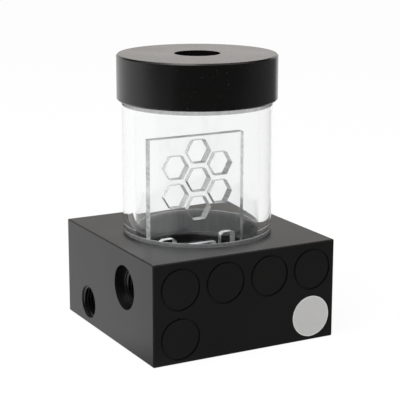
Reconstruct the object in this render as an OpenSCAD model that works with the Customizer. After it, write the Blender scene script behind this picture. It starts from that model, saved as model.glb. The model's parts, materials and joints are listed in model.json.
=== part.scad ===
// Coolant pump reservoir: a clear screw-in tube on a square pump block, with a flush canned
// pump in the underside. Millimetres, +Z up, origin at the centre of the block's underside,
// front face towards -Y and ports on the -X face.

/* [Base block] */
// Width of the block along X
block_w = 80; // [76:1:110]
// Depth of the block along Y
block_d = 80; // [76:1:110]
// Height of the block
block_h = 40; // [38:0.5:60]
// Bevel on the block's outer edges
block_bevel = 0.4; // [0.2:0.1:1.2]
// Depth of the threaded socket that holds the tube
socket_depth = 8; // [5:0.5:10]
// Radius of the pit under the tube
pit_r = 24; // [20:0.5:24]
// Depth of the pit's upper step below the tube's seat
step_depth = 4; // [3:0.5:6]
// Radius of the sump below the step
sump_r = 19; // [17:0.5:20]
// Depth of the slots that hold the baffle's outer feet
foot_slot_depth = 1.5; // [1:0.5:3]
// Thickness of the web between the sump and the pump chamber
web_t = 2.5; // [2:0.5:4]

/* [Front face] */
// Outer radius of each ring groove
ring_r = 8.4; // [6:0.1:9]
// Width of a ring groove
ring_w = 0.8; // [0.4:0.1:1.5]
// Depth of a ring groove
ring_depth = 0.5; // [0.3:0.1:1]
// Spacing of the ring columns
ring_pitch_x = 19.4; // [18:0.1:24]
// Spacing of the two ring rows
ring_pitch_z = 19.4; // [18:0.1:24]
// How far the ring pattern stands to the right of the face's middle
ring_shift = 0.5; // [0:0.1:1]
// Height of the lower row's centres above the underside
ring_low_z = 9.8; // [9:0.1:16]
// Radius of the metal badge disc
badge_r = 8.5; // [6:0.1:9]
// Thickness of the badge disc
badge_t = 1.2; // [0.6:0.1:2]
// How far the badge stands out of the face
badge_proud = 0; // [0:0.05:0.3]

/* [Ports] */
// Radius of a port's threaded wall, at the thread's outer diameter
port_r = 6.6; // [5:0.1:8]
// Length of a side port's thread
port_depth = 9; // [7:0.5:12]
// Lead-in bevel at the mouth of a port
port_bevel = 0.25; // [0.1:0.05:1]
// Place of the outlet port along Y
outlet_y = 19.7; // [17:0.1:22]
// Height of the outlet port's axis
outlet_z = 9.4; // [9:0.1:12]
// Radius of the drilled outlet passage
outlet_pass_r = 3.6; // [3:0.1:4]
// Place of the return port along Y
return_y = -15; // [-18:0.1:-12]
// Height of the return port's axis
return_z = 24.9; // [23:0.1:26]
// Radius of the drilled return passage
return_pass_r = 5; // [3:0.1:5]
// Radius of the counterbore round the return port
return_sink_r = 8.8; // [7.5:0.1:10]
// Depth of the counterbore round the return port
return_sink_depth = 3.4; // [1:0.1:5]
// Radius of the counterbore round the fill port
fill_sink_r = 9.15; // [7.5:0.05:11]
// Depth of the counterbore round the fill port
fill_sink_depth = 3; // [1:0.1:5]

/* [Tube] */
// Outer diameter of the clear tube
tube_od = 60; // [56:0.5:62]
// Wall of the clear tube
tube_wall = 5; // [3:0.5:6]
// Whole length of the clear tube
tube_len = 68.5; // [60:0.5:250]
// How much the threaded necks are turned down, on the radius
neck_cut = 0.4; // [0.2:0.1:1]
// Length of a neck that shows beyond its thread
neck_relief = 1.7; // [0.5:0.1:4]
// Radial clearance between a neck and what it screws into
thread_clear = 0.15; // [0.1:0.05:0.4]

/* [Cap] */
// How far the cap stands out past the tube, on the radius
cap_lip = 2; // [1:0.1:6]
// Height of the cap
cap_h = 18.1; // [15:0.1:30]
// Length of the tube's neck that the cap screws over
cap_grip = 7.1; // [4:0.1:9]
// Bevel on the cap's outer edges
cap_bevel = 0.6; // [0.2:0.1:2]
// Length of the cap's sealing spigot inside the tube
spigot_len = 5.5; // [4.5:0.1:8]
// Wall of the sealing spigot
spigot_wall = 4.7; // [4:0.1:6]
// Clearance over the tube's end
cap_end_clear = 0.3; // [0.1:0.1:1]

/* [Seals] */
// Section radius of the cap's O-ring
cap_seal_r = 1.1; // [0.8:0.1:1.2]
// Section radius of the O-ring under the tube
tube_seal_r = 0.9; // [0.6:0.1:1.2]
// Section radius of the O-ring in the pump flange
can_seal_r = 0.75; // [0.5:0.05:0.8]
// Running clearance between the cap's O-ring and the tube
seal_clear = 0.05; // [0.02:0.01:0.1]

/* [Baffle] */
// Width of the clear baffle plate
baffle_w = 42.4; // [38:0.2:44]
// Thickness of the baffle plate
baffle_t = 4; // [2:0.5:5]
// Height of the baffle plate
baffle_h = 52.5; // [40:0.5:60]
// Width of the two outer feet
baffle_foot_w = 4.2; // [3:0.1:6]
// Width of the two arched gaps
baffle_arch_w = 6.8; // [4:0.1:8]
// Height of the arched gaps above the feet
baffle_arch_h = 11.5; // [6:0.5:16]
// Corner radius of the arched gaps
baffle_arch_r = 1.6; // [0.5:0.1:3]
// Width of the middle gap
baffle_gap_w = 15.2; // [8:0.2:16]
// Height of the middle gap above the feet
baffle_gap_h = 8.1; // [4:0.1:12]
// Width across the flats of a honeycomb window
cell_af = 9.4; // [6:0.1:10]
// Spacing of the honeycomb windows
cell_pitch = 11.6; // [11:0.1:12.5]
// Height of the middle window above the feet
cell_mid_h = 34.5; // [28:0.5:40]

/* [Pump] */
// Radius of the pump flange
flange_r = 32.5; // [31:0.1:33]
// Thickness of the pump flange
flange_t = 2.6; // [2.4:0.1:3.2]
// Height of the flange's seat above the underside
seat_z = 5; // [4.6:0.1:5.4]
// Radius of the can's dome
dome_r = 10.4; // [10:0.1:11]
// Height of the dome above the flange
dome_h = 7.2; // [7:0.1:9]
// Wall of the can's dome
dome_wall = 0.8; // [0.6:0.1:1]
// Radius of the cavity for the driver board
cavity_r = 22.6; // [20:0.1:23]
// Wall of the can over the driver board
cavity_wall = 1.2; // [1:0.1:1.4]
// Radius of the fixed shaft
shaft_r = 1.5; // [1:0.1:2]
// Clearance between the dome and the rotor magnet
air_gap = 0.5; // [0.3:0.1:0.8]
// Thickness of the rotor magnet ring
magnet_t = 2.1; // [1:0.1:2.5]
// Length of the rotor magnet ring
magnet_len = 5.8; // [4:0.1:6]
// Radius of the impeller over its vanes
impeller_r = 15; // [14.9:0.1:15.5]
// Thickness of the impeller's disc and of its skirt
impeller_wall = 1.2; // [0.8:0.1:1.4]
// Height of the vanes
vane_h = 3; // [2:0.1:3.5]
// Thickness of a vane
vane_t = 0.9; // [0.6:0.1:1.4]
// Number of vanes
vane_count = 6; // [5:1:8]
// Radius at which the vanes start
vane_start_r = 4.8; // [4.6:0.1:6]
// Radius of the arc that each vane follows
vane_arc_r = 9; // [8:0.1:10]
// Distance of that arc's centre from the axis
vane_arc_d = 8; // [7:0.1:9]
// Gap between the impeller's rim and the chamber wall
tip_gap = 1; // [0.5:0.1:1.5]
// Radius of the inlet eye
eye_r = 7.5; // [6.5:0.1:8.5]
// Widening of the scroll at its start beyond the chamber
scroll_start = 0.4; // [0.2:0.1:1]

/* [Fasteners] */
// Number of screws that hold the pump flange
flange_screws = 6; // [4:1:8]
// Radius of the flange screws' circle
flange_screw_pcr = 29.6; // [29.4:0.1:29.8]
// Radius of a flange screw's shank
flange_screw_r = 1.5; // [1:0.1:1.6]
// Radius of a flange screw's head
flange_head_r = 2.5; // [2:0.1:2.6]
// Thread length of a flange screw in the block
flange_screw_len = 7; // [4:0.5:9]
// Spacing of the four tapped mounting holes
mount_pitch = 68; // [66:0.5:69]
// Radius of a mounting hole's wall
mount_r = 1.65; // [1:0.05:2.5]
// Depth of a mounting hole
mount_depth = 10; // [5:0.5:12]

/* [Hidden] */
$fn = 96;

black = [0.14, 0.14, 0.145];
clear = [0.85, 0.9, 0.92, 0.35];
rubber = [0.07, 0.07, 0.07];
steel = [0.72, 0.73, 0.75];

cut = 1;          // how far a cutting solid runs past a face
fixed_clear = 0.02; // clearance of pieces pressed or glued together
spin_clear = 0.06;  // running clearance on the shaft
loose_clear = 0.3;  // clearance of a machined pocket round a part

// Heights in the block
ledge_z = block_h - socket_depth;
step_z = ledge_z - step_depth;
foot_z = step_z - foot_slot_depth;
dome_top = seat_z + dome_h;
washer_t = 0.4;
washer_gap = 0.1;
disc_z = dome_top + washer_t + washer_gap;
vane_z = disc_z + impeller_wall;
vane_gap = 0.3;
vane_setback = 0.2; // how far the vanes' tips stand back from the disc's rim
chamber_top = vane_z + vane_h + vane_gap;
sump_z = chamber_top + web_t;

// Tube and cap
tube_r = tube_od / 2;
bore_r = tube_r - tube_wall;
neck_r = tube_r - neck_cut;
tube_top = ledge_z + tube_len;
cap_r = tube_r + cap_lip;
cap_z = tube_top - cap_grip;
cap_top = cap_z + cap_h;
roof_z = tube_top + cap_end_clear;
spigot_r = bore_r - loose_clear;
spigot_z = tube_top - spigot_len;
cap_seal_pcr = bore_r - seal_clear - cap_seal_r;
cap_seal_z = tube_top - spigot_len / 2;
tube_seal_pcr = (neck_r + bore_r) / 2;
seal_squeeze = 0.85; // depth of a groove as a share of its O-ring's section

// Pump
recess_r = flange_r + loose_clear;
flange_z = seat_z - flange_t;
cavity_z = seat_z - cavity_wall;
chamber_r = impeller_r + tip_gap;
scroll_r0 = chamber_r + scroll_start;
scroll_r1 = outlet_y + outlet_pass_r + 0.4;
scroll_step = 5;
can_seal_pcr = 26.2;
boss_r = 3;
shaft_z = seat_z + 1;
magnet_z = disc_z - magnet_len - 0.3;
skirt_z = magnet_z - 0.4;
magnet_r = dome_r + air_gap + magnet_t;
sleeve_r = 2.6;
hub_r = 4;
sleeve_len = vane_z + vane_h - disc_z - 0.7;
washer_r = 2.9;
spider_z = disc_z + sleeve_len + washer_gap + washer_t;
spider_nose_h = 1.6;
spider_rim = 1.2;
spider_leg_w = 1.3;
spider_hub_r = 2.7;
shaft_top = sump_z - 1;

// Motor
stator_z = seat_z + 0.3;
stator_h = 5.2;
stator_hub_r = 4.8;
tooth_w = 2;
shoe_gap = 2;
tooth_r = 7.9;
stator_r = dome_r - dome_wall - 0.2;
coil_w = 4.5;
coil_r0 = 5;
coil_len = 2.4;
coil_over = 0.6;
board_t = 1;
board_r = cavity_r - loose_clear;
cover_r = flange_screw_pcr - flange_head_r - 0.6;
cover_z = 0.5;
cover_floor = 1;
cover_screw_pcr = (cover_r + cavity_r) / 2;
cover_screw_r = 0.8;
cover_head_r = 1.5;
cover_head_h = 0.9;
cover_screw_len = 1.5;
flange_head_h = 1.5;

// Cable way in the underside, at the back
way_w = 7;
way_h = 4;
way_neck_w = 5;
way_neck_t = 2;
cable_r = 1.7;

// Shared shapes

module turned(profile) rotate_extrude() polygon(profile);

module ring(r_out, r_in, h) difference() {
    cylinder(r = r_out, h = h);
    translate([0, 0, -cut]) cylinder(r = r_in, h = h + 2 * cut);
}

module o_ring(pcr, r) rotate_extrude() translate([pcr, 0]) circle(r = r, $fn = 32);

module bevelled_rect(w, h, b) polygon([[-w / 2 + b, 0], [w / 2 - b, 0], [w / 2, b], [w / 2, h - b],
    [w / 2 - b, h], [-w / 2 + b, h], [-w / 2, h - b], [-w / 2, b]]);

module bevelled_block(w, d, h, b) intersection() {
    translate([0, -d / 2, 0]) linear_extrude(h) bevelled_rect(w, d, b);
    translate([0, d / 2, 0]) rotate([90, 0, 0]) linear_extrude(d) bevelled_rect(w, h, b);
    translate([-w / 2, 0, 0]) rotate([90, 0, 90]) linear_extrude(w) bevelled_rect(d, h, b);
}

module on_circle(count, r) for (i = [0 : count - 1]) rotate(i * 360 / count) translate([r, 0, 0])
    children();

// A port drilled along +X from the left face, with its lead-in bevel
module side_port(y, z, sink_r, sink_depth, pass_r, pass_end)
    translate([-block_w / 2, y, z]) rotate([0, 90, 0]) {
        translate([0, 0, -cut]) cylinder(r = sink_r, h = sink_depth + cut);
        translate([0, 0, sink_depth])
            turned([[0, 0], [port_r + port_bevel, 0], [port_r, port_bevel], [port_r, port_depth],
                [pass_r, port_depth + (port_r - pass_r) / 2], [0, port_depth + (port_r - pass_r) / 2]]);
        cylinder(r = pass_r, h = pass_end + block_w / 2);
    }

// Base block

// Outline of the scroll: it opens evenly from the tongue round to the outlet
module scroll_outline() polygon([for (a = [0 : scroll_step : 360])
    let (r = scroll_r0 + (scroll_r1 - scroll_r0) * a / 360) [r * cos(a + 90), r * sin(a + 90)]]);

module pump_bay() {
    translate([0, 0, -cut]) cylinder(r = recess_r, h = seat_z + cut);
    translate([0, 0, seat_z - cut]) cylinder(r = chamber_r, h = chamber_top - seat_z + cut);
    translate([0, 0, seat_z - cut]) linear_extrude(chamber_top - seat_z + cut - vane_gap)
        scroll_outline();
    translate([0, 0, chamber_top - cut]) cylinder(r = eye_r, h = web_t + 2 * cut);
    on_circle(flange_screws, flange_screw_pcr) translate([0, 0, seat_z - cut])
        cylinder(r = flange_screw_r + fixed_clear, h = flange_screw_len + 0.5 + cut);
}

module tube_bay() {
    translate([0, 0, ledge_z]) cylinder(r = neck_r + thread_clear, h = socket_depth + cut);
    translate([0, 0, ledge_z - 2 * tube_seal_r * seal_squeeze])
        ring(tube_seal_pcr + tube_seal_r + 0.2, tube_seal_pcr - tube_seal_r - 0.2,
            2 * tube_seal_r * seal_squeeze + cut);
    translate([0, 0, step_z]) cylinder(r = pit_r, h = step_depth + cut);
    translate([0, 0, sump_z]) cylinder(r = sump_r, h = step_z - sump_z + cut);
    translate([-baffle_w / 2 - loose_clear, -baffle_t / 2 - loose_clear / 2, foot_z])
        cube([baffle_w + 2 * loose_clear, baffle_t + loose_clear, foot_slot_depth + cut]);
}

module cable_way() {
    translate([-way_w / 2, flange_r - cut, -cut])
        cube([way_w, (block_d / 2 - flange_r - way_neck_t) / 2 + cut, way_h + cut]);
    translate([-way_neck_w / 2, flange_r - cut, -cut])
        cube([way_neck_w, block_d / 2 - flange_r + 2 * cut, way_h + cut]);
    translate([-way_w / 2, block_d / 2 - (block_d / 2 - flange_r - way_neck_t) / 2, -cut])
        cube([way_w, (block_d / 2 - flange_r - way_neck_t) / 2 + cut, way_h + cut]);
}

module ring_place(column, row)
    translate([(column - 1.5) * ring_pitch_x + ring_shift, -block_d / 2, ring_low_z + row * ring_pitch_z])
        rotate([90, 0, 0]) children();

module base_block() color(black) difference() {
    bevelled_block(block_w, block_d, block_h, block_bevel);
    tube_bay();
    pump_bay();
    side_port(outlet_y, outlet_z, port_r + port_bevel, 0, outlet_pass_r, 0);
    side_port(return_y, return_z, return_sink_r, return_sink_depth, return_pass_r, 0);
    cable_way();
    for (x = [-1, 1], y = [-1, 1])
        translate([x * mount_pitch / 2, y * mount_pitch / 2, -cut]) cylinder(r = mount_r, h = mount_depth + cut);
    for (column = [0 : 3]) ring_place(column, 1)
        translate([0, 0, -ring_depth]) ring(ring_r, ring_r - ring_w, ring_depth + cut);
    ring_place(0, 0) translate([0, 0, -ring_depth]) ring(ring_r, ring_r - ring_w, ring_depth + cut);
    ring_place(3, 0) translate([0, 0, badge_proud - badge_t])
        cylinder(r = badge_r + fixed_clear, h = badge_t + cut);
}

module badge_disc() color("silver") ring_place(3, 0) translate([0, 0, badge_proud - badge_t])
    turned([[0, 0], [badge_r, 0], [badge_r, badge_t - 0.2], [badge_r - 0.2, badge_t], [0, badge_t]]);

// Tube, seals and baffle

module tube() color(clear) difference() {
    turned([[bore_r, ledge_z + 0.5], [bore_r + 0.5, ledge_z], [neck_r - 0.3, ledge_z], [neck_r, ledge_z + 0.3],
        [neck_r, block_h + neck_relief], [tube_r, block_h + neck_relief], [tube_r, cap_z - neck_relief],
        [neck_r, cap_z - neck_relief], [neck_r, tube_top - 0.3], [neck_r - 0.3, tube_top],
        [bore_r + 0.5, tube_top], [bore_r, tube_top - 0.5]]);
}

module tube_seal() color(rubber) translate([0, 0, ledge_z - tube_seal_r * (2 * seal_squeeze - 1)])
    intersection() {
        o_ring(tube_seal_pcr, tube_seal_r);
        translate([0, 0, -2 * tube_seal_r]) cylinder(r = tube_r, h = tube_seal_r * (2 * seal_squeeze + 1));
    }

module cell() circle(r = cell_af / 2 / cos(30), $fn = 6);

module arch(w, h, r) {
    translate([-w / 2, -cut]) square([w, h - r + cut]);
    translate([-w / 2 + r, -cut]) square([w - 2 * r, h + cut]);
    for (s = [-1, 1]) translate([s * (w / 2 - r), h - r]) circle(r = r, $fn = 32);
}

module baffle_outline() difference() {
    translate([-baffle_w / 2, 0]) square([baffle_w, baffle_h]);
    translate([-baffle_w / 2 + baffle_foot_w, -cut])
        square([baffle_w - 2 * baffle_foot_w, foot_slot_depth + cut]);
    for (s = [-1, 1]) translate([s * (baffle_w / 2 - baffle_foot_w - baffle_arch_w / 2), 0])
        arch(baffle_arch_w, baffle_arch_h, baffle_arch_r);
    translate([-baffle_gap_w / 2, -cut]) square([baffle_gap_w, baffle_gap_h + cut]);
    translate([0, cell_mid_h]) {
        cell();
        for (a = [30 : 60 : 330]) rotate(a) translate([cell_pitch, 0]) rotate(-a) cell();
    }
}

module baffle() color(clear) translate([0, baffle_t / 2, foot_z]) rotate([90, 0, 0])
    linear_extrude(baffle_t) baffle_outline();

// Cap

module cap() color(black) difference() {
    union() {
        difference() {
            turned([[0, cap_z], [cap_r - cap_bevel, cap_z], [cap_r, cap_z + cap_bevel],
                [cap_r, cap_top - cap_bevel], [cap_r - cap_bevel, cap_top], [0, cap_top]]);
            translate([0, 0, cap_z - cut]) cylinder(r = neck_r + thread_clear, h = roof_z - cap_z + cut);
        }
        turned([[spigot_r - spigot_wall, spigot_z], [spigot_r - 0.4, spigot_z],
            [spigot_r, spigot_z + 0.4], [spigot_r, roof_z + cut], [spigot_r - spigot_wall, roof_z + cut]]);
    }
    translate([0, 0, cap_seal_z - cap_seal_r - 0.2])
        ring(spigot_r + cut, cap_seal_pcr - cap_seal_r - seal_clear, 2 * cap_seal_r + 0.4);
    translate([0, 0, roof_z - cut]) cylinder(r = port_r, h = cap_top - roof_z + 2 * cut);
    translate([0, 0, cap_top - fill_sink_depth]) cylinder(r = fill_sink_r, h = fill_sink_depth + cut);
}

module cap_seal() color(rubber) translate([0, 0, cap_seal_z]) o_ring(cap_seal_pcr, cap_seal_r);

// Pump can and what closes it

module pump_can() color([0.2, 0.2, 0.21]) difference() {
    union() {
        translate([0, 0, flange_z]) turned([[0, 0], [flange_r - 0.3, 0], [flange_r, 0.3],
            [flange_r, flange_t], [0, flange_t]]);
        translate([0, 0, flange_z]) turned([[0, 0], [dome_r, 0], [dome_r, flange_t + dome_h - dome_wall],
            [dome_r - dome_wall, flange_t + dome_h], [0, flange_t + dome_h]]);
    }
    translate([0, 0, flange_z - cut]) cylinder(r = cavity_r, h = cavity_z - flange_z + cut);
    translate([0, 0, flange_z - cut]) ring(dome_r - dome_wall, boss_r, dome_top - dome_wall - flange_z + cut);
    translate([0, 0, flange_z - cut]) cylinder(r = boss_r + cut, h = cavity_z - flange_z + cut);
    translate([0, 0, shaft_z]) cylinder(r = shaft_r + fixed_clear, h = dome_top - shaft_z + cut);
    translate([0, 0, seat_z - 2 * can_seal_r * seal_squeeze])
        ring(can_seal_pcr + can_seal_r + 0.2, can_seal_pcr - can_seal_r - 0.2,
            2 * can_seal_r * seal_squeeze + cut);
    on_circle(flange_screws, flange_screw_pcr) translate([0, 0, flange_z - cut])
        cylinder(r = flange_screw_r + 0.1, h = flange_t + 2 * cut);
    on_circle(3, cover_screw_pcr) translate([0, 0, flange_z - cut])
        cylinder(r = cover_screw_r + fixed_clear, h = cover_screw_len + 0.2 + cut);
}

module can_seal() color(rubber) translate([0, 0, seat_z - can_seal_r * (2 * seal_squeeze - 1)])
    intersection() {
        o_ring(can_seal_pcr, can_seal_r);
        translate([0, 0, -2 * can_seal_r]) cylinder(r = flange_r, h = can_seal_r * (2 * seal_squeeze + 1));
    }

module flange_screws_set() color(steel) on_circle(flange_screws, flange_screw_pcr)
    translate([0, 0, flange_z]) difference() {
        union() {
            turned([[0, -flange_head_h], [flange_head_r - 0.5, -flange_head_h],
                [flange_head_r, 0.5 - flange_head_h], [flange_head_r, 0], [0, 0]]);
            cylinder(r = flange_screw_r, h = flange_t + flange_screw_len);
        }
        translate([0, 0, -flange_head_h - cut]) cylinder(r = 1.15, h = 1 + cut, $fn = 6);
    }

module motor_cover() color([0.2, 0.2, 0.21]) difference() {
    translate([0, 0, cover_z]) turned([[0, 0], [cover_r - 0.5, 0], [cover_r, 0.5],
        [cover_r, flange_z - cover_z], [0, flange_z - cover_z]]);
    translate([0, 0, cover_z + cover_floor]) cylinder(r = cavity_r, h = flange_z);
    on_circle(3, cover_screw_pcr) translate([0, 0, cover_z]) {
        translate([0, 0, -cut]) cylinder(r = cover_screw_r + 0.1, h = flange_z + cut);
        translate([0, 0, -cut]) cylinder(r = cover_head_r + 0.1, h = cover_head_h + cut);
    }
    translate([-way_neck_w / 2, 0, cover_z + cover_floor]) cube([way_neck_w, cover_r + cut, flange_z]);
}

module cover_screws() color(steel) on_circle(3, cover_screw_pcr) translate([0, 0, cover_z]) {
    cylinder(r = cover_screw_r, h = flange_z - cover_z + cover_screw_len);
    difference() {
        cylinder(r = cover_head_r, h = cover_head_h);
        for (a = [0, 90]) rotate(a) translate([-1, -0.15, -cut]) cube([2, 0.3, cut + 0.5]);
    }
}

module cable_grommet() color(rubber) {
    lobe = (block_d / 2 - flange_r - way_neck_t) / 2 - loose_clear;
    difference() {
        union() {
            translate([-way_w / 2 + 0.05, flange_r + loose_clear, 0.2]) cube([way_w - 0.1, lobe, way_h - 0.2]);
            translate([-way_neck_w / 2 + 0.05, flange_r + loose_clear, 0.2])
                cube([way_neck_w - 0.1, block_d / 2 - flange_r - 2 * loose_clear, way_h - 0.2]);
            translate([-way_w / 2 + 0.05, block_d / 2 - loose_clear - lobe, 0.2])
                cube([way_w - 0.1, lobe, way_h - 0.2]);
        }
        translate([0, flange_r, way_h / 2 + 0.1]) rotate([-90, 0, 0]) cylinder(r = cable_r, h = block_d);
    }
}

// Shaft and rotor

module shaft() color(steel) translate([0, 0, shaft_z])
    turned([[0, 0], [shaft_r, 0], [shaft_r, shaft_top - shaft_z - 0.3],
        [shaft_r - 0.3, shaft_top - shaft_z], [0, shaft_top - shaft_z]]);

module thrust_washers() color([0.85, 0.85, 0.8])
    for (z = [dome_top, disc_z + sleeve_len + washer_gap])
        translate([0, 0, z]) ring(washer_r, shaft_r + fixed_clear, washer_t);

module inlet_spider() color(black) difference() {
    union() {
        translate([0, 0, chamber_top]) ring(eye_r - fixed_clear, eye_r - spider_rim, web_t);
        intersection() {
            translate([0, 0, chamber_top + 0.5]) cylinder(r = eye_r - spider_rim / 2, h = web_t - 0.5);
            for (a = [0, 120, 240]) rotate(a) translate([0, -spider_leg_w / 2, chamber_top])
                cube([eye_r, spider_leg_w, web_t]);
        }
        translate([0, 0, spider_z]) turned([[0, 0], [spider_hub_r, 0],
            [spider_hub_r, sump_z - spider_z], [spider_hub_r / 2, sump_z - spider_z + spider_nose_h],
            [0, sump_z - spider_z + spider_nose_h]]);
    }
    translate([0, 0, spider_z - cut]) cylinder(r = shaft_r + fixed_clear, h = shaft_top - spider_z + cut + 0.1);
}

// One backward-swept vane, cut from an arc between the eye and the rim
module vane() linear_extrude(vane_h) intersection() {
    translate([vane_arc_d, 0]) difference() {
        circle(r = vane_arc_r);
        circle(r = vane_arc_r - vane_t);
    }
    difference() {
        circle(r = impeller_r - vane_setback);
        circle(r = vane_start_r);
    }
    square([impeller_r + cut, impeller_r + cut]);
}

module impeller() color([0.86, 0.86, 0.84]) {
    turned([[sleeve_r + fixed_clear, disc_z], [magnet_r + fixed_clear, disc_z], [magnet_r + fixed_clear, skirt_z],
        [magnet_r + impeller_wall, skirt_z], [magnet_r + impeller_wall, disc_z], [impeller_r, disc_z],
        [impeller_r, vane_z], [hub_r, vane_z], [hub_r - 0.4, disc_z + sleeve_len],
        [sleeve_r + fixed_clear, disc_z + sleeve_len]]);
    for (i = [0 : vane_count - 1]) rotate(i * 360 / vane_count) translate([0, 0, vane_z - 0.1]) vane();
}

module rotor_magnet() color([0.25, 0.25, 0.27]) translate([0, 0, magnet_z])
    ring(magnet_r, dome_r + air_gap, magnet_len);

module bearing_sleeve() color([0.3, 0.3, 0.32]) translate([0, 0, disc_z])
    ring(sleeve_r, shaft_r + spin_clear, sleeve_len);

// Motor

module stator_core() color([0.45, 0.46, 0.48]) translate([0, 0, stator_z]) {
    ring(stator_hub_r, boss_r + fixed_clear, stator_h);
    for (i = [0 : 5]) rotate(i * 60) translate([stator_hub_r - 0.3, -tooth_w / 2, 0])
        cube([tooth_r - stator_hub_r + 0.6, tooth_w, stator_h]);
    difference() {
        ring(stator_r, tooth_r, stator_h);
        for (i = [0 : 2]) rotate(30 + i * 60) translate([-stator_r - cut, -shoe_gap / 2, -cut])
            cube([2 * (stator_r + cut), shoe_gap, stator_h + 2 * cut]);
    }
}

module stator_coils() color([0.72, 0.4, 0.2]) for (i = [0 : 5]) rotate(i * 60)
    translate([coil_r0, 0, stator_z - coil_over]) difference() {
        translate([0, -coil_w / 2, 0]) cube([coil_len, coil_w, stator_h + 2 * coil_over]);
        translate([-cut, -tooth_w / 2 - fixed_clear, coil_over - fixed_clear])
            cube([coil_len + 2 * cut, tooth_w + 2 * fixed_clear, stator_h + 2 * fixed_clear]);
    }

module driver_board() color([0.1, 0.35, 0.2]) translate([0, 0, cavity_z - board_t]) difference() {
    cylinder(r = board_r, h = board_t);
    translate([0, 0, -cut]) cylinder(r = boss_r, h = board_t + 2 * cut);
    translate([-way_neck_w / 2, board_r - 2, -cut]) cube([way_neck_w, 2 + cut, board_t + 2 * cut]);
}

// Parts on the underside of the board: power transistors, controller, capacitors, wire header
module board_parts() color([0.12, 0.12, 0.13]) translate([0, 0, cavity_z - board_t]) {
    for (i = [0 : 5]) rotate(i * 60 + 30) translate([12, -1.6, -0.9]) cube([3, 3.2, 0.9]);
    rotate(-90) translate([16.5, -2.5, -0.8]) cube([5, 5, 0.8]);
    for (s = [-1, 1]) translate([s * 7.5, 15.5, -1]) cylinder(r = 1.8, h = 1);
    translate([-3, 14.8, -1.1]) cube([6, 4, 1.1]);
}

base_block();
badge_disc();
tube();
tube_seal();
baffle();
cap();
cap_seal();
pump_can();
can_seal();
flange_screws_set();
shaft();
thrust_washers();
inlet_spider();
impeller();
rotor_magnet();
bearing_sleeve();
stator_core();
stator_coils();
driver_board();
board_parts();
motor_cover();
cover_screws();
cable_grommet();
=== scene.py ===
# Coolant pump reservoir: finishes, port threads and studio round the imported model.
import json
import math
import bmesh
import bpy
from mathutils import Matrix, Vector


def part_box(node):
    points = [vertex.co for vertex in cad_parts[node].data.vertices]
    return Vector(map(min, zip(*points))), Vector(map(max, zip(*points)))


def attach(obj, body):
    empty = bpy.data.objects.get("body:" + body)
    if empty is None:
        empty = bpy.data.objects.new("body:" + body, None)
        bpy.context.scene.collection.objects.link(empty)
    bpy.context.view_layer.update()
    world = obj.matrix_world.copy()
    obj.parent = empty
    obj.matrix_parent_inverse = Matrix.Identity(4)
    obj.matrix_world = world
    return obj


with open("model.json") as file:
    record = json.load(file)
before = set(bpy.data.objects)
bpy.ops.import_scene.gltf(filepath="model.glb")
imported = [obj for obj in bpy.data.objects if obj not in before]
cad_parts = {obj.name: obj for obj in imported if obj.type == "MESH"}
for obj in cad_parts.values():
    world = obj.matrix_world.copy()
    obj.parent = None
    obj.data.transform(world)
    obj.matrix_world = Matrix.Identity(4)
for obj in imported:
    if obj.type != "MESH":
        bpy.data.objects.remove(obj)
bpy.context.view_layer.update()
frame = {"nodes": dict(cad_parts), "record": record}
nodes = frame["nodes"]
mounts = {m["name"]: m for m in frame["record"]["mounts"]}
blockLow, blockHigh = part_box("base_block")
tubeLow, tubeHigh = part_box("tube")
capLow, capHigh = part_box("cap")
badgeLow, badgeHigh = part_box("badge_disc")
print("frame loaded:", len(nodes), "nodes")


class Wire:  # one output socket, with operators that add Math nodes
    def __init__(self, shade, socket):
        self.shade = shade
        self.socket = socket

    def maths(self, operation, first, second=None):
        values = {0: first} if second is None else {0: first, 1: second}
        return self.shade.add("Math", {"operation": operation}, values)[0]

    def __add__(self, other):
        return self.maths("ADD", self, other)

    def __radd__(self, other):
        return self.maths("ADD", other, self)

    def __sub__(self, other):
        return self.maths("SUBTRACT", self, other)

    def __rsub__(self, other):
        return self.maths("SUBTRACT", other, self)

    def __mul__(self, other):
        return self.maths("MULTIPLY", self, other)

    def __rmul__(self, other):
        return self.maths("MULTIPLY", other, self)

    def __truediv__(self, other):
        return self.maths("DIVIDE", self, other)

    def __rtruediv__(self, other):
        return self.maths("DIVIDE", other, self)

    def __gt__(self, other):
        return self.maths("GREATER_THAN", self, other)

    def __lt__(self, other):
        return self.maths("LESS_THAN", self, other)

    def sine(self):
        return self.maths("SINE", self)

    def size(self):
        return self.maths("ABSOLUTE", self)


class Outlets:  # a node's outputs, taken by number or name
    def __init__(self, shade, node):
        self.shade = shade
        self.node = node

    def __getitem__(self, key):
        return Wire(self.shade, self.node.outputs[key])


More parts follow.
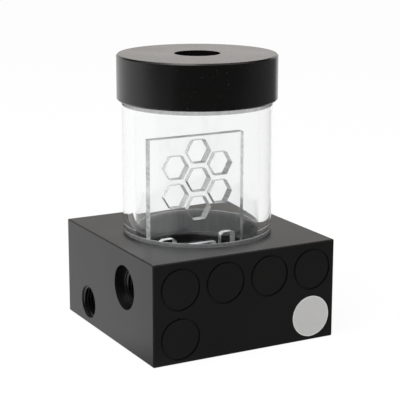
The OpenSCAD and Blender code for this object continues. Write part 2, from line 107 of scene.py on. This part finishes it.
class Shade:  # a node tree that is being written
    def __init__(self, owner):
        owner.use_nodes = True
        self.owner = owner
        self.tree = owner.node_tree
        self.tree.nodes.clear()

    def add(self, kind, settings, values):
        node = self.tree.nodes.new("ShaderNode" + kind)
        for key, value in settings.items():
            if key == "stops":
                ramp = node.color_ramp.elements
                while len(ramp) < len(value):
                    ramp.new(0.5)
                for stop, (place, level) in zip(ramp, value):
                    stop.position = place
                    stop.color = (level, level, level, 1)
            else:
                setattr(node, key, value)
        for key, value in values.items():
            if isinstance(value, Wire):
                self.tree.links.new(value.socket, node.inputs[key])
            else:
                node.inputs[key].default_value = value
        return Outlets(self, node)

    def colours(self, share, first, second):  # first where share is 0, second where it is 1
        mix = self.add("Mix", {"data_type": "RGBA"}, {0: share, 6: rgba(first), 7: rgba(second)})
        return mix[2]

    def place(self):  # a point of the surface in the part's own frame
        return self.add("TexCoord", {}, {})["Object"]

    def facing(self):  # the surface's own direction, split into x, y and z
        return self.add("SeparateXYZ", {}, {0: self.add("TexCoord", {}, {})["Normal"]})

    def noise(self, scale, detail=2.0, stretch=(1, 1, 1)):
        where = self.add("VectorMath", {"operation": "MULTIPLY"}, {0: self.place(), 1: stretch})
        return self.add("TexNoise", {}, {"Vector": where[0], "Scale": scale, "Detail": detail})[0]

    def rise(self, level, low, high):  # 0 below low, 1 above high, smooth between
        return self.add("MapRange", {"interpolation_type": "SMOOTHSTEP"},
                        {"Value": level, "From Min": low, "From Max": high})[0]

    def bump(self, height, depth, strength=1.0):
        return self.add("Bump", {}, {"Height": height, "Distance": depth, "Strength": strength})[0]

    def radius(self, centre, flat):  # distance from an axis through centre; flat is 0 along the axis
        local = self.add("VectorMath", {"operation": "SUBTRACT"}, {0: self.place(), 1: centre})
        across = self.add("VectorMath", {"operation": "MULTIPLY"}, {0: local[0], 1: flat})
        return self.add("VectorMath", {"operation": "LENGTH"}, {0: across[0]})["Value"]

    def surface(self, shader):
        self.add("Output" + ("World" if isinstance(self.owner, bpy.types.World) else "Material"), {},
                 {"Surface": shader})
        return self.owner


def rgba(colour):
    return colour if isinstance(colour, Wire) else (*colour[:3], 1.0)


def wear(node, material):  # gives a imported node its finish
    node.data.materials.clear()
    node.data.materials.append(material)


def newShade(name):
    return Shade(bpy.data.materials.new(name))


# black acetal: milled faces on the block, turned faces on the cap
acetal = {
    "colour": (0.0042, 0.004, 0.0039),
    "haze": (0.0085, 0.008, 0.0076),
    "dust": (0.07, 0.055, 0.045),
    "cloudScale": 38,
    "grainScale": 900,
    "dustScale": 1500,
    "dustRise": (0.735, 0.76),
    "grainDepth": 0.000004,
}
milled = {"roughness": 0.36, "specular": 0.4, "pitch": 0.0009, "markDepth": 0.0000018, "grain": 0.4}
turned = {"roughness": 0.24, "specular": 0.44, "pitch": 0.00042, "markDepth": 0.0000026, "grain": 0.08}


def acetalBase(shade, look, marks):
    cloud = shade.noise(acetal["cloudScale"], 3)
    fine = shade.noise(acetal["grainScale"], 2)
    specks = shade.rise(shade.noise(acetal["dustScale"], 1), *acetal["dustRise"])
    tone = shade.colours(cloud, acetal["colour"], acetal["haze"])
    tone = shade.colours(specks * 0.8, tone, acetal["dust"])
    rough = look["roughness"] + (cloud - 0.5) * 0.1 + (fine - 0.5) * 0.06
    grain = shade.bump(fine, acetal["grainDepth"], look["grain"])
    normal = shade.add("Bump", {}, {"Height": marks, "Distance": look["markDepth"], "Normal": grain})[0]
    return shade.add("BsdfPrincipled", {}, {
        "Base Color": tone, "Roughness": rough, "Specular IOR Level": look["specular"],
        "Normal": normal})[0]


def milledAcetal(name):
    shade = newShade(name)
    spot = shade.add("SeparateXYZ", {}, {0: shade.place()})
    facing = shade.facing()
    wander = shade.noise(60, 2) * 9
    across = (spot["Y"] * (2 * math.pi / milled["pitch"]) + wander).sine()
    along = (spot["Z"] * (2 * math.pi / milled["pitch"]) + wander).sine()
    top = facing["Z"].size() > 0.5
    return shade.surface(acetalBase(shade, milled, across * top + along * (1 - top)))


def turnedAcetal(name):
    shade = newShade(name)
    spot = shade.add("SeparateXYZ", {}, {0: shade.place()})
    facing = shade.facing()
    wave = 2 * math.pi / turned["pitch"]
    wander = shade.noise(250, 2) * 3
    rings = (shade.radius((0, 0, 0), (1, 1, 0)) * wave + wander).sine()
    lines = (spot["Z"] * wave + wander).sine()
    top = facing["Z"].size() > 0.5
    return shade.surface(acetalBase(shade, turned, rings * top + lines * (1 - top)))


wear(nodes["base_block"], milledAcetal("blackAcetalMilled"))
wear(nodes["cap"], turnedAcetal("blackAcetalTurned"))
print("black acetal done")


# clear acrylic of the tube and the baffle
acrylic = {
    "tint": (0.976, 0.98, 0.98),
    "bend": 1.49,
    "polish": 0.012,
    "edgeRoughness": 0.2,
    "edgeTint": (0.93, 0.94, 0.94),
    "edgeGrey": (0.8, 0.8, 0.8),
    "edgeShare": 0.6,
    "through": (0.95, 0.96, 0.96),
}
neck = {
    "turnedDown": 0.0004,
    "relief": 0.0017,
    "frost": 0.4,
    "grey": (0.3, 0.3, 0.31),
    "share": 0.55,
    "edge": 0.00005,  # how far the frost stays from the polished wall
    "skin": (0.0008, 0.0004),  # depths between which the frost sets in
    "pitch": 0.002,
    "height": 0.00012,
    "endGap": 0.0003,
    "footRise": 0.0014,  # how far the foot's thread stands above the block
}
neckRadius = tubeHigh.x - neck["turnedDown"]


def clearShader(shade, tint, rough, normal=None):
    values = {"Base Color": rgba(tint), "Roughness": rough, "IOR": acrylic["bend"]}
    values["Transmission Weight"] = 1.0
    if normal is not None:
        values["Normal"] = normal
    glass = shade.add("BsdfPrincipled", {}, values)[0]
    open_ = shade.add("BsdfTransparent", {}, {"Color": rgba(acrylic["through"])})[0]
    ray = shade.add("LightPath", {}, {})["Is Shadow Ray"]
    return shade.add("MixShader", {}, {0: ray, 1: glass, 2: open_})[0]


def greyed(shade, clear, grey, share, normal=None):  # a clear shader with a scattering part
    values = {"Color": rgba(grey)}
    if normal is not None:
        values["Normal"] = normal
    dull = shade.add("BsdfDiffuse", {}, values)[0]
    return shade.add("MixShader", {}, {0: share, 1: clear, 2: dull})[0]


def polishedAcrylic(name):  # the wall is polished, the threaded necks are left turned
    shade = newShade(name)
    smear = shade.rise(shade.noise(120, 3, (1, 1, 0.2)), 0.55, 0.8)
    level = shade.add("SeparateXYZ", {}, {0: shade.place()})["Z"]
    inmost, outmost = [neckRadius - depth for depth in neck["skin"]]
    outer = shade.rise(shade.radius((0, 0, 0), (1, 1, 0)), inmost, outmost)
    foot = blockHigh.z + neck["relief"]
    head = capLow.z - neck["relief"]
    ends = (level < foot - neck["edge"]) + (level > head + neck["edge"])
    frost = outer * ends
    streak = shade.noise(900, 2, (1, 1, 0.15))
    rough = acrylic["polish"] + smear * 0.02 + frost * neck["frost"]
    clear = clearShader(shade, acrylic["tint"], rough)
    return shade.surface(greyed(shade, clear, neck["grey"], frost * neck["share"] * (0.6 + streak * 0.8)))


def cutAcrylic(name):  # polished faces, sawn and routed edges
    shade = newShade(name)
    edge = shade.facing()["Y"].size() < 0.5
    scratch = shade.noise(700, 3, (1, 0.12, 1))
    tint = shade.colours(edge, acrylic["tint"], acrylic["edgeTint"])
    rough = acrylic["polish"] + edge * (acrylic["edgeRoughness"] * scratch)
    normal = shade.bump(scratch * edge, 0.00012, 0.6)
    clear = clearShader(shade, tint, rough, normal)
    mottle = shade.rise(scratch, 0.3, 0.7)
    share = edge * acrylic["edgeShare"] * (0.5 + mottle * 0.5)
    return shade.surface(greyed(shade, clear, acrylic["edgeGrey"], share, normal))


wear(nodes["tube"], polishedAcrylic("clearTube"))
wear(nodes["baffle"], cutAcrylic("clearBaffle"))
print("clear acrylic done")


# badge colours: turned metal, with a painted highlight on the rim bevel and painted shade at its very edge
badge = {"colour": (0.78, 0.775, 0.76), "rim": (0.95, 0.95, 0.94), "outline": (0.02, 0.02, 0.02),
         "metal": 0.25, "roughness": 0.36, "pitch": 0.0003, "rimRise": (0.92, 0.94),
         "outlineRise": (0.972, 0.98)}


def badgeMetal(name):
    shade = newShade(name)
    middle = (badgeLow + badgeHigh) / 2
    reach = (badgeHigh.x - badgeLow.x) / 2
    away = shade.radius(middle, (1, 0, 1))
    rings = (away * (2 * math.pi / badge["pitch"]) + shade.noise(300, 2) * 2).sine()
    # painted highlight: a lighter band of base colour on the rim bevel
    rim = shade.rise(away, *[reach * share for share in badge["rimRise"]])
    # painted shade: a dark ring of base colour at the badge's very edge, where the gap round it falls in
    # shade
    outline = shade.rise(away, *[reach * share for share in badge["outlineRise"]])
    grain = shade.noise(1400, 2, (0.12, 1, 1))
    tone = shade.colours(rim, badge["colour"], badge["rim"])
    return shade.surface(shade.add("BsdfPrincipled", {}, {
        "Base Color": shade.colours(outline, tone, badge["outline"]),
        "Metallic": badge["metal"],
        "Roughness": badge["roughness"] + (grain - 0.5) * 0.12 - rim * 0.1,
        "Normal": shade.bump(rings * 0.5 + grain, 0.000003, 0.6)})[0])


wear(nodes["badge_disc"], badgeMetal("badgeTurned"))
print("badge done")


# the pump and what is inside the block
def plainFinish(name, colour, second, rough, metal=0.0, grainSize=1200, depth=0.000006, clouds=60):
    shade = newShade(name)
    cloud = shade.noise(clouds, 3)
    grain = shade.noise(grainSize, 2)
    return shade.surface(shade.add("BsdfPrincipled", {}, {
        "Base Color": shade.colours(cloud, colour, second),
        "Metallic": metal,
        "Roughness": rough + (grain - 0.5) * 0.16,
        "Normal": shade.bump(grain, depth, 0.7)})[0])


def layeredFinish(name, colour, gap, pitch, rough, metal):  # thin layers along the axis
    shade = newShade(name)
    spot = shade.add("SeparateXYZ", {}, {0: shade.place()})
    layers = (spot["Z"] * (2 * math.pi / pitch) + shade.noise(500, 2) * 0.8).sine() * 0.5 + 0.5
    return shade.surface(shade.add("BsdfPrincipled", {}, {
        "Base Color": shade.colours(layers, gap, colour),
        "Metallic": metal,
        "Roughness": rough + (1 - layers) * 0.2,
        "Normal": shade.bump(layers, pitch * 0.15, 0.8)})[0])


def boardFinish(name):
    shade = newShade(name)
    tracks = shade.add("TexBrick", {"offset": 0.35}, {
        "Vector": shade.place(), "Scale": 260.0, "Mortar Size": 0.06, "Color1": (0, 0, 0, 1),
        "Color2": (0, 0, 0, 1), "Mortar": (1, 1, 1, 1)})[1]
    dots = shade.rise(shade.noise(800, 1), 0.7, 0.73)
    tone = shade.colours(tracks, (0.012, 0.085, 0.04), (0.03, 0.16, 0.08))
    tone = shade.colours(dots, tone, (0.55, 0.5, 0.38))
    return shade.surface(shade.add("BsdfPrincipled", {}, {
        "Base Color": tone, "Roughness": 0.28 + dots * 0.2,
        "Normal": shade.bump(tracks + dots, 0.00003, 0.5)})[0])


finishes = {
    "moulded": plainFinish("pumpMoulding", (0.016, 0.016, 0.017), (0.026, 0.026, 0.027), 0.5,
                           depth=0.00001),
    "rubber": plainFinish("sealRubber", (0.008, 0.008, 0.008), (0.015, 0.015, 0.015), 0.62),
    "white": plainFinish("impellerMoulding", (0.72, 0.72, 0.69), (0.8, 0.8, 0.77), 0.4),
    "magnet": plainFinish("rotorFerrite", (0.03, 0.03, 0.033), (0.055, 0.055, 0.06), 0.6, 0.2, 2000),
    "ceramic": plainFinish("groundCeramic", (0.82, 0.8, 0.74), (0.88, 0.87, 0.82), 0.16, 0.0, 3000, 0.000002),
    "carbon": plainFinish("sleeveCarbon", (0.012, 0.012, 0.013), (0.03, 0.03, 0.032), 0.38, 0.0, 2500),
    "steel": plainFinish("zincScrew", (0.5, 0.5, 0.52), (0.62, 0.62, 0.62), 0.3, 1.0, 1800, 0.000003),
    "chips": plainFinish("chipMoulding", (0.014, 0.014, 0.015), (0.022, 0.022, 0.023), 0.55, 0.0, 2500),
    "laminated": layeredFinish("statorLayers", (0.35, 0.36, 0.38), (0.06, 0.06, 0.06), 0.0005, 0.35, 0.9),
    "copper": layeredFinish("coilWire", (0.72, 0.3, 0.12), (0.18, 0.06, 0.02), 0.00042, 0.25, 0.8),
    "board": boardFinish("boardResist"),
}
finishOf = {
    "moulded": ["pump_can", "motor_cover", "inlet_spider"],
    "rubber": ["tube_seal", "cap_seal", "can_seal", "cable_grommet"],
    "white": ["impeller"],
    "magnet": ["rotor_magnet"],
    "ceramic": ["shaft", "thrust_washers"],
    "carbon": ["bearing_sleeve"],
    "steel": ["flange_screws_set", "cover_screws"],
    "chips": ["board_parts"],
    "laminated": ["stator_core"],
    "copper": ["stator_coils"],
    "board": ["driver_board"],
}
for finish, members in finishOf.items():
    for member in members:
        wear(nodes[member], finishes[finish])
print("pump finishes done")


# screw threads, as helical ridges that stand in the plain walls
thread = {"pitch": 0.001337, "crest": 0.00072, "flat": 0.22, "steps": 60, "embed": 0.00002, "runOut": 0.35,
          "least": 0.02, "foot": 0.46, "endWidth": 0.35}


def threadMesh(name, wall, height, length, pitch, outward=False):
    # a closed ridge along +Z from 0 to length; crests point at the axis unless outward
    mesh = bmesh.new()
    turns = length / pitch - 1
    count = int(turns * thread["steps"])
    side = 1 if outward else -1
    sections = []
    for i in range(count + 1):
        turn = i / thread["steps"]
        angle = 2 * math.pi * turn
        fade = min(1.0, turn / thread["runOut"], (turns - turn) / thread["runOut"] + thread["least"])
        fade = max(thread["least"], fade)
        rise = turn * pitch + pitch / 2
        root = wall - side * thread["embed"]
        crest = wall + side * height * fade
        half = pitch * thread["foot"] * (thread["endWidth"] + (1 - thread["endWidth"]) * fade)
        tip = pitch * thread["flat"] / 2 * fade
        ring = []
        for reach, level in ((root, -half), (crest, -tip), (crest, tip), (root, half)):
            ring.append(mesh.verts.new((reach * math.cos(angle), reach * math.sin(angle), rise + level)))
        sections.append(ring)
    for first, second in zip(sections, sections[1:]):
        for k in range(4):
            mesh.faces.new((first[k], first[(k + 1) % 4], second[(k + 1) % 4], second[k]))
    mesh.faces.new(sections[0][::-1])
    mesh.faces.new(sections[-1])
    bmesh.ops.recalc_face_normals(mesh, faces=mesh.faces)
    data = bpy.data.meshes.new(name)
    mesh.to_mesh(data)
    mesh.free()
    for face in data.polygons:
        face.use_smooth = False
    piece = bpy.data.objects.new(name, data)
    bpy.context.scene.collection.objects.link(piece)
    return piece


def threadPort(name, mountName, body, material):
    mount = mounts[mountName]
    outward = Vector(mount["axis"])
    length = mount["dims"]["length_mm"] / 1000
    start = Vector(mount["pos_m"]) - outward * length / 2
    piece = threadMesh(name, mount["dims"]["r_mm"] / 1000, thread["crest"], length, thread["pitch"])
    turn = Vector((0, 0, 1)).rotation_difference(outward).to_matrix().to_4x4()
    piece.data.transform(Matrix.Translation(start) @ turn)
    wear(piece, material)
    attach(piece, body)


# the port threads wear a darker copy of the block's black acetal: painted shade for the inside of the port
# bores
darkenedPortThread = plainFinish("threadedAcetal", (0.0025, 0.0025, 0.0025), (0.005, 0.005, 0.005), 0.3)
threadPort("fillThread", "fill_port", "cap", darkenedPortThread)
threadPort("returnThread", "return_port", "base", darkenedPortThread)
threadPort("outletThread", "outlet_port", "base", darkenedPortThread)



def threadNeck(name, start, end):
    piece = threadMesh(name, neckRadius, neck["height"], end - start, neck["pitch"], True)
    piece.data.transform(Matrix.Translation((0, 0, start)))
    wear(piece, nodes["tube"].data.materials[0])
    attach(piece, "base")


threadNeck("neckThread", capLow.z, tubeHigh.z - neck["endGap"])
threadNeck("footThread", tubeLow.z + neck["endGap"], blockHigh.z + neck["footRise"])
print("threads done")


# studio
studio = {
    "white": 1.03,
    "warm": (1.0, 0.965, 0.925),
    "shadowShare": 0.10,
    "fill": 0.5,
    "front": (-0.474, -0.88, 0),  # level direction towards the viewer
    "dark": 0.03,
    "behindRise": (-0.1, 0.45),  # how far from the viewer the backdrop starts to glow
    "lowRise": (0.3, 0.45),  # heights between which that glow ends
    "overheadRise": (0.68, 0.85),
    "overheadShare": 0.9,
    "floorSize": 6,
    "floorGrey": (0.86, 0.86, 0.86),
    "frontFloor": 0.2,
    "rightFront": (0.5, -0.87, 0),
    "rightFrontRise": (-0.03, 0.035),
    "nearRise": (0.15, 0.35),
    "nearShare": 0.85,
    "keyPlace": (-0.5, -0.25, 1.1),
    "keySize": 0.9,
    "keyPower": 9.0,
}


def dot(shade, spot, direction):
    return shade.add("VectorMath", {"operation": "DOT_PRODUCT"}, {0: spot, 1: direction})["Value"]


def seenDirectly(shade, rays):  # 1 for rays from the camera or through glass
    values = {0: rays["Is Camera Ray"], 1: rays["Is Transmission Ray"]}
    return shade.add("Math", {"operation": "MAXIMUM"}, values)[0]


def paintWorld():  # the backdrop is white to the eye and through glass; reflections see a lit studio
    world = bpy.data.worlds.new("studioWorld")
    bpy.context.scene.world = world
    shade = Shade(world)
    rays = shade.add("LightPath", {}, {})
    spot = shade.add("TexCoord", {}, {})["Generated"]
    level = shade.add("SeparateXYZ", {}, {0: spot})["Z"]
    behind = shade.rise(dot(shade, spot, studio["front"]) * -1, *studio["behindRise"])
    low = 1 - shade.rise(level, *studio["lowRise"])
    overhead = shade.rise(level, *studio["overheadRise"])
    share = studio["dark"] + behind * low + overhead * studio["overheadShare"]
    white = shade.add("Background", {}, {"Color": (1, 1, 1, 1), "Strength": studio["white"]})[0]
    fill = shade.add("Background", {}, {"Color": (1, 1, 1, 1), "Strength": studio["fill"]})[0]
    night = shade.add("Background", {}, {"Color": (0, 0, 0, 1), "Strength": 0.0})[0]
    glow = shade.add("Background", {}, {"Color": rgba(studio["warm"]), "Strength": 1.0})[0]
    lit = shade.add("MixShader", {}, {0: share, 1: night, 2: glow})[0]
    mirrored = shade.add("MixShader", {}, {0: rays["Is Glossy Ray"], 1: fill, 2: lit})[0]
    direct = seenDirectly(shade, rays)
    shade.surface(shade.add("MixShader", {}, {0: direct, 1: mirrored, 2: white})[0])


# the floor is part of the studio light: to the eye and through glass it glows white, with a tenth of lit grey
# so the shadow stays; in reflections it glows, dimmer on its right-front half and towards the viewer
def makeFloor():
    mesh = bmesh.new()
    bmesh.ops.create_grid(mesh, x_segments=1, y_segments=1, size=studio["floorSize"])
    data = bpy.data.meshes.new("floor")
    mesh.to_mesh(data)
    mesh.free()
    floor = bpy.data.objects.new("floor", data)
    bpy.context.scene.collection.objects.link(floor)
    shade = newShade("paleFloor")
    rays = shade.add("LightPath", {}, {})
    spot = shade.place()
    ahead = shade.rise(dot(shade, spot, studio["rightFront"]), *studio["rightFrontRise"])
    near = shade.rise(dot(shade, spot, studio["front"]), *studio["nearRise"])
    share = (1 - ahead * (1 - studio["frontFloor"])) * (1 - near * studio["nearShare"])
    lit = shade.add("BsdfDiffuse", {}, {"Color": rgba(studio["floorGrey"])})[0]
    glow = shade.add("Emission", {}, {"Color": (1, 1, 1, 1), "Strength": studio["white"]})[0]
    night = shade.add("Emission", {}, {"Color": (0, 0, 0, 1), "Strength": 0.0})[0]
    mirrored = shade.add("MixShader", {}, {0: share, 1: night, 2: glow})[0]
    shown = shade.add("MixShader", {}, {0: 1 - studio["shadowShare"], 1: lit, 2: glow})[0]
    direct = seenDirectly(shade, rays)
    indirect = shade.add("MixShader", {}, {0: rays["Is Glossy Ray"], 1: lit, 2: mirrored})[0]
    wear(floor, shade.surface(shade.add("MixShader", {}, {0: direct, 1: indirect, 2: shown})[0]))


def makeLamp(name, place, size, power, aim=(0, 0, 0.05)):
    data = bpy.data.lights.new(name, "AREA")
    data.shape = "DISK"
    data.size = size
    data.energy = power
    lamp = bpy.data.objects.new(name, data)
    lamp.location = place
    lamp.rotation_euler = (Vector(aim) - Vector(place)).to_track_quat("-Z", "Y").to_euler()
    bpy.context.scene.collection.objects.link(lamp)


paintWorld()
makeFloor()
makeLamp("softKey", studio["keyPlace"], studio["keySize"], studio["keyPower"])
bpy.context.scene.view_settings.view_transform = "Standard"
print("studio done")

view = {"place": (-0.2489, -0.4623, 0.17755), "turn": 28.425, "dip": 13.451, "roll": 0.084, "lens": 120.1}


def makeCamera():
    data = bpy.data.cameras.new("camera")
    data.lens = view["lens"]
    data.sensor_width = 36
    data.clip_start = 0.01
    camera = bpy.data.objects.new("camera", data)
    camera.location = view["place"]
    turn = Matrix.Rotation(math.radians(-view["turn"]), 4, "Z")
    dip = Matrix.Rotation(math.radians(90 - view["dip"]), 4, "X")
    roll = Matrix.Rotation(math.radians(view["roll"]), 4, "Z")
    camera.rotation_euler = (turn @ dip @ roll).to_euler()
    bpy.context.scene.collection.objects.link(camera)
    bpy.context.scene.camera = camera


makeCamera()

print("pieces done")
